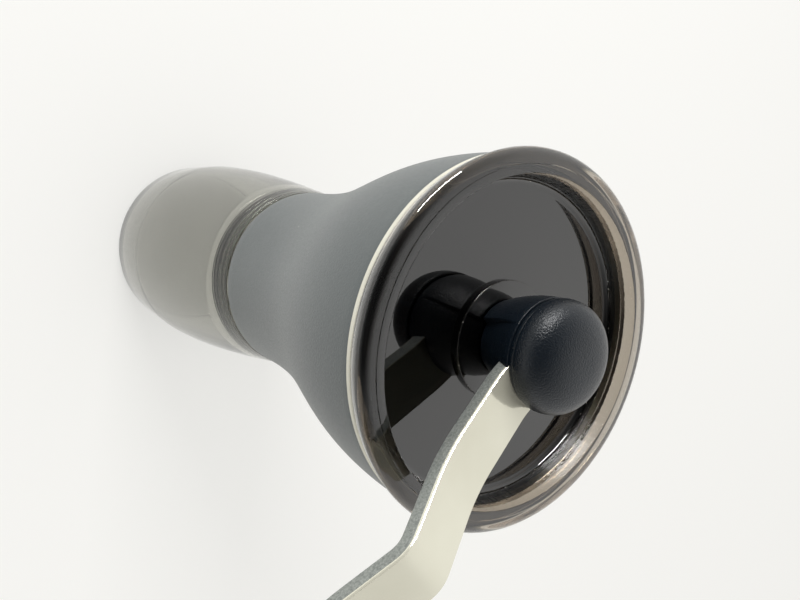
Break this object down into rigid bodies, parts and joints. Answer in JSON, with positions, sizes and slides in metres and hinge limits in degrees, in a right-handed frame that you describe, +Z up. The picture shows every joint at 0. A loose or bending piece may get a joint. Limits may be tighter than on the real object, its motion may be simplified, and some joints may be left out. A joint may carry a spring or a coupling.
{
  "type": "manual coffee grinder",
  "caption": "Hand coffee grinder: flared dark hopper screwed on a smoke-clear jar, clear dished lid, bent steel crank with knob, conical ceramic burrs.",
  "frame": {"origin": "centre of the jar's flat underside, on the axis of the crank", "axes": "+Z up along the crank's axis, +X along the crank arm towards its knob, +Y by the right-hand rule"},
  "size_m": [0.1498, 0.072, 0.2201],
  "materials": {
    "smoke_acrylic": "polished",
    "body_plastic": "satin",
    "hub_plastic": "satin",
    "black_plastic": "satin",
    "nylon": "satin",
    "pale_silicone": "satin",
    "dark_silicone": "matte",
    "white_ceramic": "matte",
    "satin_steel": "satin",
    "plain_steel": "satin"
  },
  "bodies": {
    "jar": {"jar": "smoke_acrylic"},
    "seal_carrier": {"neck_seal": "dark_silicone"},
    "hopper": {"hopper_body": "body_plastic", "guide_bridge": "black_plastic", "upper_bush": "nylon", "lower_bush": "nylon", "outer_burr": "white_ceramic", "burr_cup": "black_plastic"},
    "drive": {"drive_shaft": "plain_steel", "thrust_washer": "nylon", "retaining_ring": "plain_steel", "spring_washer": "plain_steel", "burr_spring": "plain_steel"},
    "burr": {"inner_burr": "white_ceramic", "burr_driver": "black_plastic"},
    "adjuster": {"adjuster_nut": "black_plastic"},
    "lid": {"lid": "smoke_acrylic", "lid_seal": "pale_silicone"},
    "crank": {"hub_sleeve": "hub_plastic", "crank_arm": "satin_steel", "hub_washer": "hub_plastic", "hub_cap": "hub_plastic", "hub_screw": "plain_steel", "knob_pin": "plain_steel", "knob_washer": "nylon"},
    "knob": {"knob": "black_plastic", "knob_cap": "black_plastic"}
  },
  "joints": [
    {"name": "body_lift", "type": "slide", "parent": "jar", "child": "seal_carrier", "axis": [0, 0, 1], "range_m": [0, 0.0061]},
    {"name": "body_unscrew", "type": "hinge", "parent": "seal_carrier", "child": "hopper", "pos_m": [0, 0, 0.0812], "axis": [0, 0, 1], "range_deg": [0, 540]},
    {"name": "crank_turn", "type": "hinge", "parent": "hopper", "child": "drive", "pos_m": [0, 0, 0.11], "axis": [0, 0, 1], "continuous": true},
    {"name": "burr_drop", "type": "slide", "parent": "drive", "child": "burr", "axis": [0, 0, -1], "range_m": [0, 0.0015], "deforming": ["burr_spring"]},
    {"name": "nut_turn", "type": "hinge", "parent": "burr", "child": "adjuster", "pos_m": [0, 0, 0.068], "axis": [0, 0, -1], "range_deg": [0, 540]},
    {"name": "lid_lift", "type": "slide", "parent": "hopper", "child": "lid", "axis": [0, 0, 1], "range_m": [0, 0.031]},
    {"name": "crank_lift", "type": "slide", "parent": "drive", "child": "crank", "axis": [0, 0, 1], "range_m": [0, 0.06]},
    {"name": "knob_spin", "type": "hinge", "parent": "crank", "child": "knob", "pos_m": [0.102, 0, 0.19], "axis": [0, 0, 1], "continuous": true}
  ],
  "couplings": [
    {"joint": "body_lift", "follows": "body_unscrew", "m_per_rad": 0.00063662},
    {"joint": "nut_turn", "follows": "burr_drop", "rad_per_m": 6283.2},
    {"joint": "lid_lift", "follows": "crank_lift", "ratio": 0.5}
  ]
}
